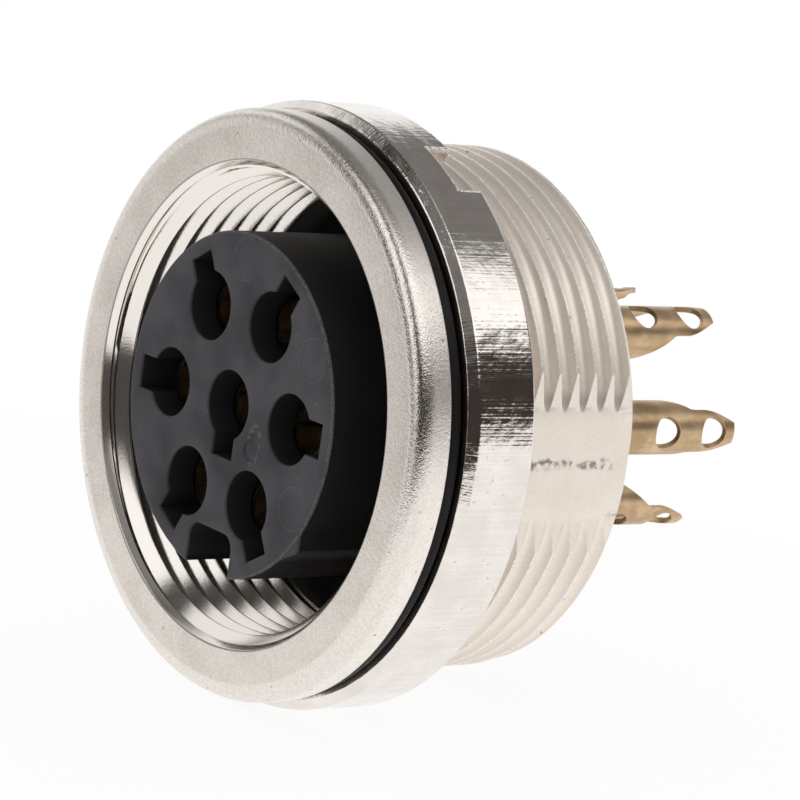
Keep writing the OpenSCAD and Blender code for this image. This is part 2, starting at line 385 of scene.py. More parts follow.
def threaded(degrees, widths, radii, ends, form, steps, fade, limit, reach=None):
    """Right-handed cast thread between two ends: rows follow the helix, y falls by one pitch for each turn.

    widths and radii are those of the crest and the root. A flank falls by steps from its crest to the narrow
    root in its form, hollow or ridge. Where a flat leaves only the radius reach, the rows of a flank start at
    the drop where the flat cuts it, so that a groove ends in a clean point. fade(angle, y) scales the depth
    of the groove, and limit(angle, y, radius) trims it by flats and chamfers.
    """
    (crest_w, root_w), (crest_r, root_r), (start, end) = widths, radii, ends
    depth = abs(crest_r - root_r)
    flank = (PITCH - crest_w - root_w) / 2
    cut = np.zeros_like(degrees) if reach is None else np.clip((crest_r - reach) / depth, 0.0, 1.0)
    drop = cut + (1.0 - cut) * np.array(steps)[:, None]
    falling = crest_w / 2 + flank * form(drop)
    one_turn = np.concatenate([falling, PITCH - falling[::-1]])
    turns = np.arange(np.floor(start / PITCH) - 1, np.ceil(end / PITCH) + 3) * PITCH
    place = (turns[:, None, None] + one_turn).reshape(-1, len(degrees))
    drop = np.tile(np.concatenate([drop, drop[::-1]]), (len(turns), 1))
    y = np.clip(place - PITCH * degrees / FULL, start, end)
    radius = crest_r + (root_r - crest_r) * drop * fade(degrees, y)
    radius = limit(np.broadcast_to(degrees, y.shape), y, radius)
    grid = radius[..., None] * polar(np.broadcast_to(degrees, y.shape))
    return np.insert(grid, 1, y, axis=2)


def flat_cut(degrees, radius):
    """A radius trimmed by the two flats, planes at FLAT_R from the axis."""
    return np.minimum(radius, FLAT_R / np.maximum(np.abs(np.cos(np.radians(degrees))), 1e-6))


def shell_angles():
    """Angles of the shell's columns, closer where a flat cuts the thread and at the locator's slot."""
    crest_end, groove_end = np.degrees(np.arccos(FLAT_R / np.array([CREST_R, ROOT_R])))
    side = np.concatenate([np.linspace(0.0, groove_end, 5)[:-1], np.linspace(groove_end, crest_end, 24),
                           np.linspace(crest_end, 90.0, 44)[1:]])
    half = np.concatenate([side[:-1], 180.0 - side[::-1]])
    wall_step = 0.02
    walls = [FULL + KEY_ANGLE + sign * LOCATOR_HALF_ANGLE + step
             for sign in (-1, 1) for step in (-wall_step, wall_step)]
    return np.unique(np.round(np.concatenate([half, 180.0 + half, walls]), 4))


def shell_grids():
    """Flange, mounting thread with two flats, rear bore with ring groove and slot, and coupling thread."""
    degrees = shell_angles()

    def wear(angle, y):
        """Wear of the crests: two crossing waves of uneven length."""
        waves = np.sin(np.radians(41.0 * angle) + 9.0 * y) + np.sin(np.radians(67.0 * angle) - 14.0 * y)
        return CREST_WEAR * (1.0 + 0.5 * waves)

    def outer_fade(angle, y):
        """Depth that runs in behind the flange and is less, by a share, away from the flats."""
        from_flat = np.degrees(np.arccos(np.abs(np.cos(np.radians(angle)))))
        return smooth(y, *RUN_IN) * (1.0 - SHALLOW_SHARE * smooth(from_flat, *SHALLOW_ANGLES))

    def inner_fade(angle, y):
        """Depth that runs out before the shoulder."""
        return smooth(FLOOR_Y - y, *RUN_IN)

    def outer_limit(angle, y, radius):
        """The least of the thread, its worn crest, the cone at the shank's end and the flats."""
        worn = np.minimum(radius, CREST_R - wear(angle, y) * smooth(y, PLAY, RUN_IN[0]))
        return flat_cut(angle, np.minimum(worn, SHANK_END_R + SHANK_END_Y - y))

    def inner_limit(angle, y, radius):
        """The greater of the thread and the cone that leads into it."""
        return np.maximum(radius, RELIEF_R - LEAD_SLOPE * (y - RELIEF_Y))

    outside = threaded(
        degrees, (CREST_W, ROOT_W), (CREST_R, ROOT_R), (0.0, SHANK_END_Y), hollow, HOLLOW_STEPS,
        outer_fade, outer_limit, flat_cut(degrees, CREST_R))
    inside_wall = threaded(
        degrees, (MINOR_W, MAJOR_W), (MINOR_R, MAJOR_R), (RELIEF_Y, FLOOR_Y), ridge, RIDGE_STEPS,
        inner_fade, inner_limit)
    flange = lathe(rounded_profile(
        [(RELIEF_R, RELIEF_Y), (RELIEF_R, LIP_Y), (LIP_R, LIP_Y), (MOUTH_R, FLANGE_FRONT_Y),
         (FLANGE_R, FLANGE_FRONT_Y), (FLANGE_R, 0.0), (CREST_R, 0.0)],
        [0.0, LIP_ROUND, MOUTH_ROUND, FLANGE_ROUND, FLANGE_REAR_ROUND], 9), degrees)
    flange[-1] = np.insert(polar(degrees) * flat_cut(degrees, CREST_R)[:, None], 1, 0.0, axis=1)

    ring_rear = FOOT_REAR_Y + GROOVE_W
    rows = np.array([
        (MINOR_R, FLOOR_Y), (REAR_BORE_R, FLOOR_Y), (REAR_BORE_R, FOOT_REAR_Y), (GROOVE_R, FOOT_REAR_Y),
        (GROOVE_R, ring_rear), (REAR_BORE_R, ring_rear), (REAR_BORE_R, SHANK_END_Y - REAR_CHAMFER),
        (REAR_BORE_R + REAR_CHAMFER, SHANK_END_Y), (SHANK_END_R, SHANK_END_Y)])
    from_key = np.abs(degrees - FULL - KEY_ANGLE)
    slot_r = np.where(from_key < LOCATOR_HALF_ANGLE, LOCATOR_R / np.cos(np.radians(from_key)), 0.0)
    radius = np.broadcast_to(rows[:, :1], (len(rows), len(degrees))).copy()
    radius[1:-1] = np.maximum(radius[1:-1], slot_r)
    radius[-1] = flat_cut(degrees, radius[-1])
    rear = np.insert(radius[..., None] * polar(degrees), 1, rows[:, 1:], axis=2)
    return [outside, inside_wall, flange, rear]


# Nut, seal and retaining ring


def slotted_angles(radius, width, centres, inner=6, outer=88):
    """Angles of a turned grid with slots of parallel walls, and which columns lie in a slot.

    A wall at half the width from its slot's middle line meets a radius at the arc sine of their ratio.
    """
    half = np.degrees(np.arcsin(width / 2 / radius))[:, None]
    columns, in_slot = [], []
    for centre, following in zip(centres, [*centres[1:], centres[0] + FULL]):
        across = np.linspace(-1.0, 1.0, inner)
        columns.append(centre + half * across)
        in_slot += [True] * inner
        along = np.linspace(0.0, 1.0, outer)
        columns.append(centre + half + (following - centre - 2 * half) * along)
        in_slot += [False] * outer
    columns.append(columns[0][:, :1] + FULL)
    return np.concatenate(columns, 1), np.array(in_slot + [True])


def nut_grid():
    """Turned section with two spanner slots: in a slot, the rows behind its floor lie on the floor."""
    front, rear = NUT_LOW[1], NUT_HIGH[1]
    section = np.array([
        (NUT_BORE_R, front + NUT_BORE_CHAMFER), (NUT_BORE_R + NUT_BORE_CHAMFER, front),
        (NUT_R - NUT_CHAMFER, front), (NUT_R, front + NUT_CHAMFER), (NUT_R, SLOT_FLOOR_Y),
        (NUT_R, rear - NUT_REAR_CHAMFER), (NUT_R - NUT_REAR_CHAMFER, rear),
        (NUT_BORE_R + NUT_BORE_CHAMFER, rear), (NUT_BORE_R, rear - NUT_BORE_CHAMFER),
        (NUT_BORE_R, SLOT_FLOOR_Y), (NUT_BORE_R, front + NUT_BORE_CHAMFER)])
    angle, in_slot = slotted_angles(section[:, 0], SLOT_W, [SLOT_ANGLE, SLOT_ANGLE + FULL / 2])
    y = np.where(in_slot, np.minimum(section[:, 1:], SLOT_FLOOR_Y), section[:, 1:])
    return np.insert(section[:, :1, None] * polar(angle), 1, y, axis=2)


def seal_grid():
    """Flat rubber ring with rounded outer edges."""
    inner, outer = CREST_R + PLAY, SEAL_HIGH[0]
    front, rear = SEAL_LOW[1], SEAL_HIGH[1]
    middle = (inner, (front + rear) / 2)
    section = rounded_profile(
        [middle, (inner, front), (outer, front), (outer, rear), (inner, rear), middle],
        [SEAL_BORE_ROUND, SEAL_ROUND, SEAL_ROUND, SEAL_BORE_ROUND], 6)
    return lathe(section, np.linspace(0.0, FULL, 193))


def retaining_ring_grids():
    """Spring ring of rounded section along an open circle, with parallel ends and flat end faces."""
    front, rear = RING_LOW[1], RING_HIGH[1]
    inner = RING_R - RING_W
    middle = ((inner + RING_R) / 2, front)
    section = rounded_profile(
        [middle, (RING_R, front), (RING_R, rear), (inner, rear), (inner, front), middle], [RING_ROUND] * 4, 4)
    half = np.degrees(np.arcsin(RING_GAP / 2 / section[:, 0]))[:, None]
    angle = RING_GAP_ANGLE + half + (FULL - 2 * half) * np.linspace(0.0, 1.0, 150)
    grid = np.insert(section[:, :1, None] * polar(angle), 1, section[:, 1:], axis=2)
    ends = [np.stack([grid[:, i], np.broadcast_to(grid[:, i].mean(0), grid[:, i].shape)]) for i in (0, -1)]
    return [grid, *ends]


# Insert


def boss_outline():
    """Round boss with its keyway and the small rib on its side, from the keyway's right wall round."""
    half = KEY_W / 2
    corner = (KEY_FLOOR_R + KEY_ROUND, half - KEY_ROUND)
    mouth = np.degrees(np.arcsin(half / BOSS_R))
    rib = RIB_ANGLE - KEY_ANGLE
    rib_feet = np.array([rib - RIB_RISE, rib + RIB_FALL])
    rib_crest = polar(rib, RIB_R)
    local = np.concatenate([
        arc((0, 0), BOSS_R, mouth, rib_feet[0], 24),
        rib_crest + (polar(rib_feet, BOSS_R) - rib_crest) * RIB_BLUNT,
        arc((0, 0), BOSS_R, rib_feet[1], FULL - mouth, 180),
        arc((corner[0], -corner[1]), KEY_ROUND, 270.0, 180.0, 9),
        arc(corner, KEY_ROUND, 180.0, 90.0, 9),
    ])
    return turned(local, KEY_ANGLE)


def keyhole_outlines():
    """Round cavity with its side notch towards +x, and the full round that goes on behind the notch."""
    half = NOTCH_W / 2
    meet = np.degrees(np.arcsin(half / CAVITY_R))
    most = arc((0, 0), CAVITY_R, meet, FULL - meet, 57)
    rest = arc((0, 0), CAVITY_R, -meet, meet, 10)[1:-1]
    return np.concatenate([[(NOTCH_REACH, -half), (NOTCH_REACH, half)], most]), np.concatenate([most, rest])


def ways():
    """The middle and the notch's direction of each contact cavity: six on a circle, one in the middle."""
    ring = [(polar(angle, PITCH_R), angle) for angle in np.arange(6) * 60.0]
    return [*ring, (np.zeros(2), KEY_ANGLE)]


def oblong(length, width, count=12):
    """Closed outline of two half circles joined by straight sides, along z."""
    straight = (length - width) / 2
    return np.concatenate([
        arc((0, straight), width / 2, 0.0, 180.0, count), arc((0, -straight), width / 2, 180.0, FULL, count)])


def insert_parts():
    """Grids and caps of the moulding: keyed boss, seven stepped cavities, marks on the face, foot and hub."""
    boss = boss_outline()
    half = LOCATOR_W / 2 - PLAY
    tab = np.degrees(np.arcsin(half / FOOT_R))
    foot = turned(np.concatenate([
        [(LOCATOR_R - PLAY, -half), (LOCATOR_R - PLAY, half)],
        arc((0, 0), FOOT_R, tab, FULL - tab, 160)]), KEY_ANGLE)
    hub = circle((0, 0), HUB_R, 128)
    grids = [
        sweep(boss, [*quarter(EDGE_ROUND, FACE_Y, 1, -1), (0.0, FLOOR_Y)]),
        sweep(foot, [(0.0, FLOOR_Y), (0.0, FOOT_REAR_Y)]),
        sweep(hub, [(0.0, FOOT_REAR_Y), *quarter(EDGE_ROUND, HUB_END_Y, -1, -1)[::-1]]),
    ]
    face_holes, rear_holes, caps = [], [], []
    for middle, direction in ways():
        keyhole, round_part = [turned(outline, direction) + middle for outline in keyhole_outlines()]
        seat = turned(circle((0, 0), SEAT_R, len(round_part)), direction) + middle
        notch_y, step_y = FACE_Y + NOTCH_DEPTH, FACE_Y + CAVITY_DEPTH
        grids += [
            sweep(keyhole, [*quarter(EDGE_ROUND, FACE_Y, 1, 1), (0.0, notch_y)]),
            sweep(round_part, [(0.0, notch_y), (0.0, step_y)]),
            sweep(seat, [(0.0, step_y), *quarter(EDGE_ROUND, HUB_END_Y, -1, 1)[::-1]]),
        ]
        caps += [cap(notch_y, keyhole, [round_part]), cap(step_y, round_part, [seat])]
        face_holes.append(grown(keyhole, EDGE_ROUND))
        rear_holes.append(grown(seat, EDGE_ROUND))
    marks = [circle(polar(angle, MARK_PLACE_R), MARK_R, 40) for angle in MARK_ANGLES]
    marks.append(turned(oblong(GATE_L, GATE_W), GATE_ANGLE) + polar(GATE_ANGLE, GATE_PLACE_R))
    for mark in marks:
        grids.append(sweep(mark, [(0.0, FACE_Y), (-MARK_DEPTH, FACE_Y + MARK_DEPTH)]))
        caps.append(cap(FACE_Y + MARK_DEPTH, grown(mark, -MARK_DEPTH)))
    caps += [
        cap(FACE_Y, grown(boss, -EDGE_ROUND), face_holes + marks),
        cap(FLOOR_Y, foot, [boss]),
        cap(FOOT_REAR_Y, foot, [hub]),
        cap(HUB_END_Y, grown(hub, -EDGE_ROUND), rear_holes),
    ]
    return grids, caps


# Contacts


def tail_half_width(y):
    """Half width of a solder tail: a blunt round tip, then a straight run."""
    taper = np.sin(np.clip((TAIL_TIP_Y - y) / TIP_L, 0.0, 1.0) * np.pi / 2)
    return (TIP_W + (TAIL_W - TIP_W) * taper) / 2


def roll_radius(y):
    """Radius that the sheet is rolled to: collar, necked grip, then the plain sleeve and its tail."""
    neck_y = SLEEVE_FRONT_Y + COLLAR_L
    wide_y = neck_y + NECKING_L + GRIP_L
    neck = smooth(y, neck_y, neck_y + NECKING_L) - smooth(y, wide_y, wide_y + NECKING_L)
    return SLEEVE_MID_R + (NECK_MID_R - SLEEVE_MID_R) * neck


def cut_height(y):
    """Height above the axis of the plane that opens the sleeve; near the tip it meets the outer line."""
    return SLEEVE_MID_R + SHEET_T / 2 - (TAIL_TIP_Y - CUT_INSET - y) * np.tan(np.radians(CUT_ANGLE))


def blank_half_width(y):
    """Half width of the flat blank: the sleeve's half girth less the seam, a slanting cut, then the tail.

    The cut leaves the part of the round that lies above its plane: the angles below arccos(height / radius).
    """
    radius = roll_radius(y)
    girth = np.pi * radius - SEAM_W / 2
    cut = radius * np.arccos(np.clip(cut_height(y) / radius, -1.0, 1.0))
    tail = radius * np.arcsin(tail_half_width(y) / (SLEEVE_MID_R + SHEET_T / 2))
    return np.maximum(np.minimum(cut, girth), tail)


def contact_blank():
    """Flat blank (across, along): its outline, a window, two solder holes and points inside."""
    ends = np.array([HUB_END_Y, TAIL_TIP_Y])
    opening = np.interp([-SLEEVE_MID_R, -OPENING_H], cut_height(ends), ends)
    along = np.unique(np.concatenate([
        np.linspace(SLEEVE_FRONT_Y, HUB_END_Y, 36), np.linspace(HUB_END_Y, opening[0], 12),
        np.linspace(*opening, 12), np.linspace(opening[1], TAIL_TIP_Y, 40)]))
    half = blank_half_width(along)
    share = np.linspace(-1.0, 1.0, 25)[1:-1]
    tip = np.linspace(half[-1], -half[-1], 7)[1:-1]
    outline = np.concatenate([
        np.stack([half, along], -1),
        np.stack([tip, np.full_like(tip, TAIL_TIP_Y)], -1),
        np.stack([-half, along], -1)[::-1],
        np.stack([half[0] * share, np.full_like(share, SLEEVE_FRONT_Y)], -1)])
    window = np.array([(-0.5, 0.0), (0.5, 0.0), (0.5, 1.0), (-0.5, 1.0)])
    window = window * (WINDOW_W, WINDOW_L) + (0.0, WINDOW_Y)
    holes = [circle((0.0, TAIL_TIP_Y - inset), SOLDER_HOLE_R, 32) for inset in SOLDER_INSETS]
    inner = np.stack(np.broadcast_arrays(half[1:-1, None] * share, along[1:-1, None]), -1).reshape(-1, 2)
    near_hole = np.min([np.hypot(*(inner - hole.mean(0)).T) for hole in holes], 0) < SOLDER_HOLE_R + HOLE_GAP
    in_window = inside(inner, grown(window, WINDOW_GAP))
    return region(outline, [window, *holes], inner[~near_hole & ~in_window])


def contact_parts(middle, direction):
    """The blank rolled to its radius at each height, and the lance bent out of its window.

    A point across the blank by s lies at the angle s / radius, and the lance stands in the notch.
    """
    flat, triangles = contact_blank()
    radius = roll_radius(flat[:, 1])
    turn = flat[:, 0] / radius
    rolled = np.stack([radius * np.cos(turn), flat[:, 1], radius * np.sin(turn)], -1)
    t = np.linspace(0.0, 1.0, 9)[:, None]
    share = np.linspace(-1.0, 1.0, 5)
    lance_y = WINDOW_Y - LANCE_LAP
    bend = SLEEVE_MID_R - PLAY + LANCE_REACH * t**LANCE_BEND - LANCE_CURL * (1.0 - t) * share**2
    along = lance_y + (FACE_Y + NOTCH_DEPTH - SHEET_T / 2 - lance_y) * t
    lance = np.stack(np.broadcast_arrays(bend, along, LANCE_W / 2 * share), -1)

    def placed(points):
        """Points turned to the notch's direction and moved to the cavity's middle."""
        flat_place = turned(points[..., ::2], direction) + middle
        return np.stack([flat_place[..., 0], points[..., 1], flat_place[..., 1]], -1)

    return [placed(lance)], [(placed(rolled), triangles)]


# Finishes


class Value:
    """A shader value: an output socket of a node, on which Python's operators add Math nodes."""

    def __init__(self, tree, socket):
        self.tree = tree
        self.socket = socket

    def node(self, kind, settings=None, sockets=None, output=0):
        """Adds a node of a kind: its settings first, then the values or links of its sockets."""
        node = self.tree.nodes.new(kind)
        for key, setting in (settings or {}).items():
            setattr(node, key, setting)
        for key, given in (sockets or {}).items():
            if isinstance(given, Value):
                self.tree.links.new(given.socket, node.inputs[key])
            else:
                node.inputs[key].default_value = given
        return Value(self.tree, node.outputs[output])

    def math(self, operation, *others):
        """A Math node on this value and the others."""
        return self.node("ShaderNodeMath", {"operation": operation}, dict(enumerate((self, *others))))

    def __add__(self, other):
        return self.math("ADD", other)

    __radd__ = __add__

    def __sub__(self, other):
        return self.math("SUBTRACT", other)

    def __rsub__(self, other):
        return self.node("ShaderNodeMath", {"operation": "SUBTRACT"}, {0: other, 1: self})

    def __mul__(self, other):
        return self.math("MULTIPLY", other)

    __rmul__ = __mul__

    def rise(self, start, end):
        """0 below start, 1 above end, smooth between; start may be the greater."""
        return self.node("ShaderNodeMapRange", {"interpolation_type": "SMOOTHSTEP"},
                         {"Value": self, "From Min": start, "From Max": end})

    def band(self, low, high, soft):
        """1 between low and high, 0 outside, with soft edges."""
        return self.rise(low - soft, low + soft) * self.rise(high + soft, high - soft)

    def colour(self, low, high):
        """The colour low at 0 and high at 1."""
        return self.node("ShaderNodeMix", {"data_type": "RGBA"},
                         {0: self, 6: as_colour(low), 7: as_colour(high)}, 2)

    def noise(self, scale, detail=2.0, stretch=(1.0, 1.0, 1.0)):
        """Noise from 0 to 1 on this vector, in patterns per millimetre, stretched along its axes."""
        vector = self.node("ShaderNodeVectorMath", {"operation": "MULTIPLY"}, {0: self, 1: stretch})
        return self.node("ShaderNodeTexNoise", {}, {"Vector": vector, "Scale": scale, "Detail": detail})

    def axes(self):
        """The three parts of a vector."""
        return [self.node("ShaderNodeSeparateXYZ", {}, {0: self}, i) for i in range(3)]

    def bump(self, height_mm, strength=1.0):
        """A normal from a height in millimetres, given by this value times height_mm."""
        sockets = {"Height": self, "Strength": strength, "Distance": height_mm * MM}
        return self.node("ShaderNodeBump", {}, sockets)


def as_colour(value):
    """A colour for a socket: a value stays, three numbers get an alpha of 1."""
    return value if isinstance(value, Value) else (*value, 1.0)


def finish(name, paint, constants=None):
    """A material of one Principled shader: paint gives its varying sockets from the place in millimetres."""
    material = bpy.data.materials.new(name)
    material.use_nodes = True
    tree = material.node_tree
    shader = tree.nodes["Principled BSDF"]
    for key, value in (constants or {}).items():
        shader.inputs[key].default_value = value
    place = Value(tree, tree.nodes.new("ShaderNodeTexCoord").outputs["Object"])
    place = place.node("ShaderNodeVectorMath", {"operation": "SCALE"}, {0: place, "Scale": 1.0 / MM})
    for key, value in paint(place).items():
        tree.links.new(value.socket, shader.inputs[key])
    return material


def from_middle(x, z, middle=(0.0, 0.0)):
    """Distance from a middle (x, z), across the axis."""
    across, up = x - middle[0], z - middle[1]
    return (across * across + up * up).math("SQRT")


def round_about_axis(x, y, z):
    """The place as a vector: the way round at a radius of 10 mm, along the axis, and out from it."""
    girth = z.math("ARCTAN2", x) * 10.0
    return x.node("ShaderNodeCombineXYZ", {}, {0: girth, 1: y, 2: from_middle(x, z)})


def cast_nickel(place):
    """Plating on a zinc casting: satin flange with a rubbed edge, duller shank, bright bore, and painted
    shade on the thread's flanks, at its grooves' ends on the flats and round the mouth.
    """
    x, y, z = place.axes()
    side = x.math("ABSOLUTE")
    radius = from_middle(x, z)
    from_front = y - FLANGE_FRONT_Y
    shank = y.rise(0.05, 0.3) * radius.rise(FLAT_R - 0.15, FLAT_R - 0.03)
    bore = radius.rise(MOUTH_R, MOUTH_R - 0.03) * y.rise(FOOT_REAR_Y - 0.11, FOOT_REAR_Y - 0.19)
    wall = radius.rise(FLANGE_R - 0.145, FLANGE_R - 0.025) * from_front.rise(0.23, 0.65)
    rubbed = radius.rise(FLANGE_R - 0.675, FLANGE_R - 0.525) * from_front.rise(0.70, 0.60) * (1.0 - wall)
    crest = shank * radius.rise(CREST_R - 0.05, CREST_R - 0.02)
    grain = place.noise(9.0, 3.0)
    fine = place.noise(18.0, 2.0)
    cells = place.node("ShaderNodeTexVoronoi", {}, {"Vector": place, "Scale": 15.0}, 1)
    patch = place.noise(0.55, 3.0)
    pits = place.node("ShaderNodeTexVoronoi", {}, {"Vector": place, "Scale": 1.7}).rise(0.12, 0.05)
    pits = pits * place.noise(0.9, 1.0).rise(0.53, 0.63) * (1.0 - bore)
    wander = place.noise(1.6, 3.0)
    line = (z + wander * 0.5 - 0.25).math("ABSOLUTE").rise(0.26, 0.02)
    streak = line * side.rise(FLAT_R - 0.25, FLAT_R - 0.15)
    streak = streak * y.band(SHANK_END_Y - 4.45, SHANK_END_Y - 0.65, 0.4)
    streak = streak * place.noise(4.0, 4.0).rise(0.40, 0.66)
    # Painted shade: a thin dark line round the edge of the mouth, taken in with the real pits and the streak.
    mouth = radius.band(MOUTH_R - 0.02, MOUTH_R + 0.03, 0.015)
    mouth = mouth * from_front.rise(0.06, 0.02)
    dark = (pits * 0.6 + streak * 0.8 + mouth * 0.6).math("MINIMUM", 1.0)
    grit = (cells * 0.6 + fine * 0.4).rise(0.3, 0.7)
    tone = patch.rise(0.3, 0.7) * 0.5 + grit * 0.5
    satin = tone.colour((0.66, 0.605, 0.545), (0.83, 0.775, 0.715))
    matt = tone.colour((0.93, 0.83, 0.73), (1.0, 0.92, 0.83))
    turn = (y * (1.0 / PITCH) + z.math("ARCTAN2", x) * (1.0 / (2.0 * np.pi))).math("FRACT")
    # Painted shade on each groove's flank just before the crest, stronger towards the top and in patches.
    flank_shade = turn.rise(0.6, 1.0) * side.rise(FLAT_R - 0.01, FLAT_R - 0.04)
    flank_shade = flank_shade * (patch * 0.2 + z.rise(4.0, 6.0) * 0.25 + 0.15)
    # Painted shade at the pointed ends of the grooves on the upper side of each flat.
    tip_z = np.sqrt(ROOT_R**2 - FLAT_R**2)
    tip_shade = side.rise(FLAT_R - 0.003, FLAT_R - 0.02) * z.band(tip_z + 0.05, tip_z + 0.6, 0.25)
    tip_shade = tip_shade * radius.rise(ROOT_R + 0.23, ROOT_R + 0.1)
    # Both painted shades darken the matt shank towards this brown.
    matt = flank_shade.math("MAXIMUM", tip_shade * 0.55).colour(matt, (0.42, 0.36, 0.30))
    worn = crest.colour(matt, grit.colour((0.88, 0.81, 0.74), (1.0, 0.97, 0.93)))
    edge = (rubbed + wall).math("MINIMUM", 1.0)
    flange = rubbed.colour(satin, grit.colour((0.77, 0.715, 0.66), (0.86, 0.81, 0.755)))
    flange = wall.colour(flange, grit.colour((0.89, 0.83, 0.77), (0.98, 0.925, 0.865)))
    metal = bore.colour(shank.colour(flange, worn), (0.90, 0.85, 0.795))
    rough = (grain * 0.8 + fine * 0.9) * (edge * 0.15 - shank * 0.3 - bore * 0.5 + 0.6)
    height = rough + crest * fine * 0.7 - dark * 0.9
    dull = shank * 0.12 - crest * 0.1 + wall * 0.04 - bore * 0.15 - rubbed * 0.12 + dark * 0.3
    return {
        "Base Color": dark.colour(metal, (0.16, 0.135, 0.11)),
        "Metallic": rubbed * 0.19 + wall * 0.06 + bore * 0.14 - shank * 0.17 + 0.80,
        "Roughness": grain * 0.10 + 0.22 + dull,
        "Normal": height.bump(0.016, 0.8),
    }


def turned_nickel(place):
    """Bright plating on a turned ring: fine lines along it, a wavy skin, stains and worn slot edges."""
    x, y, z = place.axes()
    around = round_about_axis(x, y, z)
    rings = around.noise(1.0, 2.0, (0.6, 46.0, 46.0))
    lines = around.noise(1.0, 2.0, (11.0, 0.14, 0.5))
    waves = place.noise(1.5, 4.0)
    stain = place.noise(0.9, 5.0)
    specks = place.noise(6.0, 3.0).rise(0.62, 0.74) * stain.rise(0.45, 0.6)
    metal = (stain * 0.7 + lines * 0.3).rise(0.35, 0.7).colour((0.80, 0.745, 0.695), (0.92, 0.87, 0.825))
    half = SLOT_W / 2
    slot_x, slot_z = polar(SLOT_ANGLE).tolist()
    across = (z * slot_x - x * slot_z).math("ABSOLUTE")
    from_floor = y - SLOT_FLOOR_Y
    wall_edge = across.band(half, half + 0.09, 0.03) * from_floor.rise(-0.12, -0.06)
    floor_edge = from_floor.band(-0.07, 0.0, 0.03) * across.rise(half + 0.1, half + 0.04)
    burr = wall_edge.math("MAXIMUM", floor_edge) * from_middle(x, z).rise(NUT_R - 0.2, NUT_R - 0.1)
    burr = burr * place.noise(8.0, 3.0).rise(0.40, 0.52)
    height = rings * 0.2 + lines * 2.0 - specks * 0.3 + waves * 9.0 + burr * place.noise(18.0, 2.0) * 8.0
    return {
        "Base Color": burr.colour((specks * 0.5).colour(metal, (0.25, 0.23, 0.21)), (0.96, 0.93, 0.89)),
        "Metallic": 1.0 - burr * 0.6,
        "Roughness": stain * 0.10 + 0.05 + specks * 0.2 + burr * 0.4,
        "Normal": height.bump(0.006, 0.7),
    }


def seal_rubber(place):
    """Black rubber with a fine moulded skin and a grey bloom in places."""
    bloom = place.noise(0.8, 3.0)
    skin = place.noise(14.0, 3.0)
    return {
        "Base Color": bloom.rise(0.4, 0.8).colour((0.006, 0.005, 0.005), (0.014, 0.012, 0.012)),
        "Roughness": skin * 0.2 + 0.35,
        "Normal": skin.bump(0.008, 0.4),
    }


def insert_plastic(place):
    """Black moulding compound: a charcoal face with paler marks and a pale rim, partly scuffed and partly a
    painted highlight, and walls in painted shade, darkest on the boss's side.
    """
    x, y, z = place.axes()
    radius = from_middle(x, z)
    face = y.rise(FACE_Y + 0.12, FACE_Y + 0.07)
    flow = place.noise(0.5, 4.0)
    skin = place.noise(18.0, 2.0)
    cavity = radius.rise(BOSS_R - 0.15, BOSS_R - 0.2)
    scuff = place.noise(3.2, 5.0).rise(0.63, 0.72) * place.noise(0.6, 2.0).rise(0.5, 0.62)
    fuzz = place.noise(14.0, 4.0)
    # The pale rim round the boss's edge is partly scuffed wear and partly a painted highlight.
    rim = radius.band(BOSS_R - 0.07, BOSS_R + 0.02, 0.02) * fuzz.rise(0.35, 0.6)
    pale = (scuff * 0.5).math("MAXIMUM", rim * 0.45)
    gate_x, gate_z = polar(GATE_ANGLE, GATE_PLACE_R).tolist()
    from_gate = from_middle(x * 2.0, z, (gate_x * 2.0, gate_z))
    scar = from_gate.band(0.45, 0.72, 0.1) * place.noise(5.0, 4.0).rise(0.42, 0.62)
    pale = pale.math("MAXIMUM", scar * 0.5)
    for mark_middle in polar(np.array(MARK_ANGLES), MARK_PLACE_R).tolist():
        away = from_middle(x, z, mark_middle)
        ring = away.band(MARK_R - 0.05, MARK_R + 0.02, 0.02) * fuzz.rise(0.3, 0.6)
        pale = pale.math("MAXIMUM", away.rise(MARK_R + 0.02, MARK_R - 0.02) * 0.10 + ring * 0.25)
    skin_colour = flow.rise(0.3, 0.7).colour((0.038, 0.036, 0.041), (0.070, 0.066, 0.073))
    # Painted shade: walls off the face are darker than it, in the cavities and darkest on the boss's side.
    shaded_wall_colour = cavity.colour((0.008, 0.0075, 0.008), (0.016, 0.0148, 0.0155))
    return {
        "Base Color": face.colour(shaded_wall_colour, pale.colour(skin_colour, (0.17, 0.165, 0.17))),
        "Roughness": skin * 0.16 + 0.40 + scuff * 0.1,
        "Normal": (skin * 0.7 + flow * 0.3).bump(0.006, 0.4),
    }


def contact_gold(place):
    """Thin gilt on bronze: polished walls painted darker as shade in the cavity, their front edge painted
    near black as shade, and warm brown and duller on the tail.
    """
    y = place.axes()[1]
    tail = y.rise(HUB_END_Y - 0.4, HUB_END_Y)
    # Painted shade: the sleeve's front edge is near black.
    edge = y.rise(SLEEVE_FRONT_Y + 0.07, SLEEVE_FRONT_Y + 0.03)
    dull = place.noise(0.9, 4.0)
    rubbed = place.noise(5.0, 3.0, (1.0, 0.35, 1.0))
    mark = (dull * 0.7 + rubbed * 0.3).rise(0.35, 0.68)
    # Painted shade: the sleeve, deep in its cavity, is a darker brown than the tail.
    sleeve = mark.colour((0.36, 0.28, 0.18), (0.50, 0.40, 0.27))
    gilt = mark.colour((0.50, 0.335, 0.185), (0.80, 0.59, 0.37))
    return {
        "Base Color": edge.colour(tail.colour(sleeve, gilt), (0.02, 0.015, 0.01)),
        "Metallic": 0.97 - tail * 0.15,
        "Roughness": dull * 0.14 + 0.22 + tail * 0.06,
        "Normal": (rubbed * 0.6 + place.noise(20.0, 2.0) * 0.4).bump(0.006, 0.5),
    }


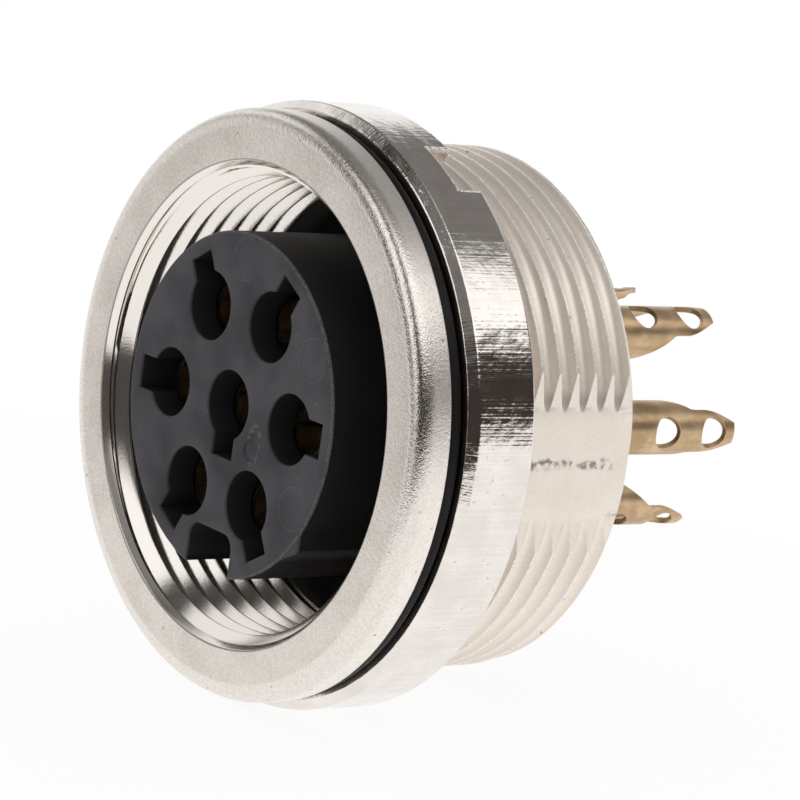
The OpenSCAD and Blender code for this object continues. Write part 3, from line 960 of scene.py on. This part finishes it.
def spring_steel(place):
    """Drawn spring wire: grey, with lines along the ring and a blued cast in places."""
    drawn = round_about_axis(*place.axes()).noise(1.0, 2.0, (0.3, 22.0, 22.0))
    tone = (drawn * 0.4 + place.noise(0.7, 2.0) * 0.6).rise(0.3, 0.7)
    return {
        "Base Color": tone.colour((0.30, 0.30, 0.31), (0.52, 0.52, 0.53)),
        "Roughness": drawn * 0.15 + 0.25,
        "Normal": drawn.bump(0.006, 0.4),
    }


CAST_NICKEL = finish("cast_nickel", cast_nickel)
TURNED_NICKEL = finish("turned_nickel", turned_nickel)
SEAL_RUBBER = finish("seal_rubber", seal_rubber, {"Specular IOR Level": 0.2})
INSERT_PLASTIC = finish("insert_plastic", insert_plastic, {"Specular IOR Level": 0.2})
CONTACT_GOLD = finish("contact_gold", contact_gold)
SPRING_STEEL = finish("spring_steel", spring_steel, {"Metallic": 1.0})

# Pieces

piece("cast_shell", shell_grids(), [], CAST_NICKEL, "receptacle", "cast_nickel", ["shell"])
piece("rubber_seal", [seal_grid()], [], SEAL_RUBBER, "receptacle", "seal_rubber", ["sealing_ring"])
piece("turned_nut", [nut_grid()], [], TURNED_NICKEL, "nut", "turned_nickel", ["ring_nut"], bevel=NUT_BEVEL)
piece("moulded_insert", *insert_parts(), INSERT_PLASTIC, "receptacle", "insert_plastic", ["insert"])
piece("spring_ring", retaining_ring_grids(), [], SPRING_STEEL, "receptacle", "spring_steel",
      ["retaining_ring"])
for number, (way_middle, way_direction) in enumerate(ways(), 1):
    piece(f"rolled_contact_{number}", *contact_parts(way_middle, way_direction), CONTACT_GOLD, "receptacle",
          "contact_gold", [f"contact_{number}"], sharp=50.0, sheet=SHEET_T, bevel=CONTACT_BEVEL)

# Camera

RIGHT = Vector((0.59984, 0.78775, 0.14014))
UP = Vector((-0.2275, 0.0, 0.9738))
FORWARD = Vector((-0.76710, 0.61599, -0.17921))
CAMERA_PLACE = Vector((94.04, -69.94, 22.14))
camera_data = bpy.data.cameras.new("camera")
camera_data.lens = 161.6
camera_data.sensor_width = 36.0
camera_data.clip_start = 0.005
camera_data.clip_end = 20.0
camera = bpy.data.objects.new("camera", camera_data)
camera_turn = Matrix((RIGHT, UP, -FORWARD)).transposed().to_4x4()
camera.matrix_world = Matrix.Translation(CAMERA_PLACE * MM) @ camera_turn
bpy.context.scene.collection.objects.link(camera)
bpy.context.scene.camera = camera

# Floor and light

TABLE_R = 45.0
SOFT_LIGHT = (0.85, 0.85, 0.85)


def ray_kinds(tree):
    """Two values: 1 for rays from the camera, and 1 for rays from a reflection or through glass."""
    path = tree.nodes.new("ShaderNodeLightPath")
    camera_ray, glossy, through = [
        Value(tree, path.outputs[name]) for name in ("Is Camera Ray", "Is Glossy Ray", "Is Transmission Ray")]
    return camera_ray, (glossy + through).math("MINIMUM", 1.0)


def white_floor():
    """White ground that shows as white, with a faint shadow of the part on it."""
    material = bpy.data.materials.new("white_floor")
    material.use_nodes = True
    tree = material.node_tree
    tree.nodes.clear()
    camera_ray, mirror = ray_kinds(tree)
    shadow_share = 0.08
    matt = camera_ray.node("ShaderNodeBsdfDiffuse", {}, {"Color": (1.0, 1.0, 1.0, 1.0)})
    glow = camera_ray.node("ShaderNodeEmission", {}, {"Color": (1.0, 1.0, 1.0, 1.0), "Strength": 1.0})
    share = (camera_ray + mirror).math("MINIMUM", 1.0) * (1.0 - shadow_share)
    mixed = camera_ray.node("ShaderNodeMixShader", {}, {0: share, 1: matt, 2: glow})
    tree.links.new(mixed.socket, tree.nodes.new("ShaderNodeOutputMaterial").inputs["Surface"])
    mesh = bpy.data.meshes.new("floor")
    rim = np.insert(circle((0.0, 0.0), TABLE_R, 96), 2, cad_low[2] / MM, axis=1) * MM
    mesh.from_pydata(rim, [], [list(range(len(rim)))])
    mesh.materials.append(material)
    floor = bpy.data.objects.new("floor", mesh)
    bpy.context.scene.collection.objects.link(floor)


def studio():
    """Light from a white table, a backdrop and soft boxes, in a dim room that bright metal mirrors.

    Each area is bounded by the parts of a direction: to the camera's right, up, and toward the camera.
    """
    world = bpy.data.worlds.new("studio")
    bpy.context.scene.world = world
    world.use_nodes = True
    world.cycles.sampling_method = "NONE"
    tree = world.node_tree
    tree.nodes.clear()
    camera_ray, mirror = ray_kinds(tree)
    direction = Value(tree, tree.nodes.new("ShaderNodeTexCoord").outputs["Generated"])
    right, up, toward = [
        direction.node("ShaderNodeVectorMath", {"operation": "DOT_PRODUCT"}, {0: direction, 1: axis}, 1)
        for axis in (RIGHT, UP, -FORWARD)]
    table = (up + toward * 0.285).rise(-0.02, -0.13)
    backdrop = toward.rise(-0.50, -0.80) * up.rise(0.72, 0.50)
    right_box = right.rise(-0.1, 0.1) * toward.rise(-0.3, -0.1)
    right_box = right_box * (up + toward * 0.08).rise(0.26, 0.40) * (up - toward * 0.5).rise(0.80, 0.55)
    left_box = (right - up * 0.5).rise(-0.62, -0.76) * (up - toward * 0.25).band(0.0, 0.53, 0.05)
    left_low = right.rise(-0.68, -0.74) * (up - toward * 0.25).band(-0.13, 0.1, 0.03)
    left_high = right.rise(-0.40, -0.46) * (up - toward * 0.25).band(0.45, 0.76, 0.04)
    left_box = left_box.math("MAXIMUM", left_low).math("MAXIMUM", left_high) * toward.rise(0.19, 0.27)
    left_wall = right.rise(-0.40, -0.75) * toward.rise(-0.04, -0.20) * up.rise(0.6, 0.3) * 0.8
    left_back = right.rise(-0.15, -0.45) * up.band(0.5, 0.85, 0.1) * toward.rise(0.01, -0.07) * 0.9
    above = up.rise(0.15, 0.4) * right.rise(-0.5, -0.25) * 0.16
    top_lamp = right.rise(-0.25, 0.05) * up.rise(0.82, 0.92) * toward.rise(0.0, 0.25) * 0.4
    lit = table.math("MAXIMUM", backdrop)
    for area in (right_box, left_box, left_wall, left_back, above, top_lamp):
        lit = lit.math("MAXIMUM", area)
    lamp = right_box.math("MAXIMUM", left_box * 0.5).colour((1.0, 1.0, 1.0), (1.2, 1.2, 1.2))
    mirrored = lit.colour((0.046, 0.038, 0.034), lamp)
    shown = mirror.node("ShaderNodeMix", {"data_type": "RGBA"}, {
        0: mirror, 6: (*SOFT_LIGHT, 1.0), 7: mirrored}, 2)
    shown = camera_ray.colour(shown, (1.0, 1.0, 1.0))
    light = camera_ray.node("ShaderNodeBackground", {}, {"Color": shown, "Strength": 1.0})
    tree.links.new(light.socket, tree.nodes.new("ShaderNodeOutputWorld").inputs["Surface"])


white_floor()
studio()
bpy.context.scene.view_settings.view_transform = "Standard"
